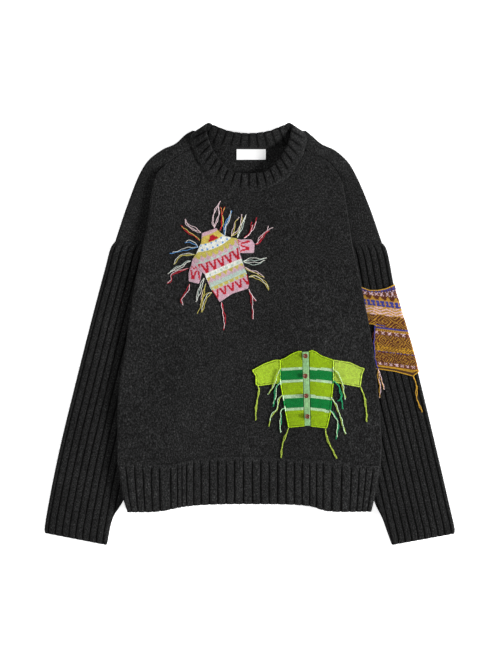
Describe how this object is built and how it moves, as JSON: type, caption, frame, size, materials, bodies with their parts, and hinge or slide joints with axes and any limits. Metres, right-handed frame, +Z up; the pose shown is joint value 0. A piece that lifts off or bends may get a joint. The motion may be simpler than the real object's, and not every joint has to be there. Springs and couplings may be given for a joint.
{
  "type": "darned wool sweater",
  "caption": "Charcoal wool sweater laid flat, with a rib collar, hem and sleeves and small knitted motifs darned on, their yarn ends hanging loose.",
  "frame": {"origin": "middle of the underside, on the surface it lies on", "axes": "+X to the wearer's left, +Y towards the collar, +Z up from the surface, through the front"},
  "size_m": [0.681, 0.6984, 0.0264],
  "materials": {
    "wool_plain": "charcoal melange wool, plain knit, matt with a faint fuzz",
    "wool_rib": "charcoal melange wool, wide rib, matt",
    "label": "white woven label, blank",
    "pullover_knit": "patterned hand knit in pink, red, mustard, mint and blue",
    "cardigan_knit": "striped hand knit in lime, green and pale mint",
    "sleeve_knit": "patterned hand knit in gold, brown, blue and pink",
    "yarn": "loose yarn ends in the motifs' colours",
    "button": "brown, softly glossy"
  },
  "bodies": {
    "root": {"back": "wool_plain", "button_1": "button", "button_2": "button", "button_3": "button", "button_4": "button", "cardigan_front_left": "cardigan_knit", "cardigan_front_right": "cardigan_knit", "cardigan_placket": "cardigan_knit", "cardigan_sleeve_left": "cardigan_knit", "cardigan_sleeve_right": "cardigan_knit", "cardigan_yarn_01": "yarn", "cardigan_yarn_02": "yarn", "cardigan_yarn_03": "yarn", "cardigan_yarn_04": "yarn", "cardigan_yarn_05": "yarn", "cardigan_yarn_06": "yarn", "cardigan_yarn_07": "yarn", "cardigan_yarn_08": "yarn", "cardigan_yarn_09": "yarn", "cardigan_yarn_10": "yarn", "cardigan_yarn_11": "yarn", "cardigan_yarn_12": "yarn", "collar": "wool_rib", "front": "wool_plain", "hem_back": "wool_rib", "hem_front": "wool_rib", "label": "label", "left_shoulder": "wool_plain", "left_sleeve": "wool_rib", "pullover_body": "pullover_knit", "pullover_sleeve_left": "pullover_knit", "pullover_sleeve_right": "pullover_knit", "pullover_yarn_01": "yarn", "pullover_yarn_02": "yarn", "pullover_yarn_03": "yarn", "pullover_yarn_04": "yarn", "pullover_yarn_05": "yarn", "pullover_yarn_06": "yarn", "pullover_yarn_07": "yarn", "pullover_yarn_08": "yarn", "pullover_yarn_09": "yarn", "pullover_yarn_10": "yarn", "pullover_yarn_11": "yarn", "pullover_yarn_12": "yarn", "pullover_yarn_13": "yarn", "pullover_yarn_14": "yarn", "pullover_yarn_15": "yarn", "pullover_yarn_16": "yarn", "pullover_yarn_17": "yarn", "pullover_yarn_18": "yarn", "pullover_yarn_19": "yarn", "pullover_yarn_20": "yarn", "pullover_yarn_21": "yarn", "pullover_yarn_22": "yarn", "right_shoulder": "wool_plain", "right_sleeve": "wool_rib", "sleeve_motif": "sleeve_knit", "sleeve_yarn_01": "yarn", "sleeve_yarn_02": "yarn"}
  },
  "joints": []
}
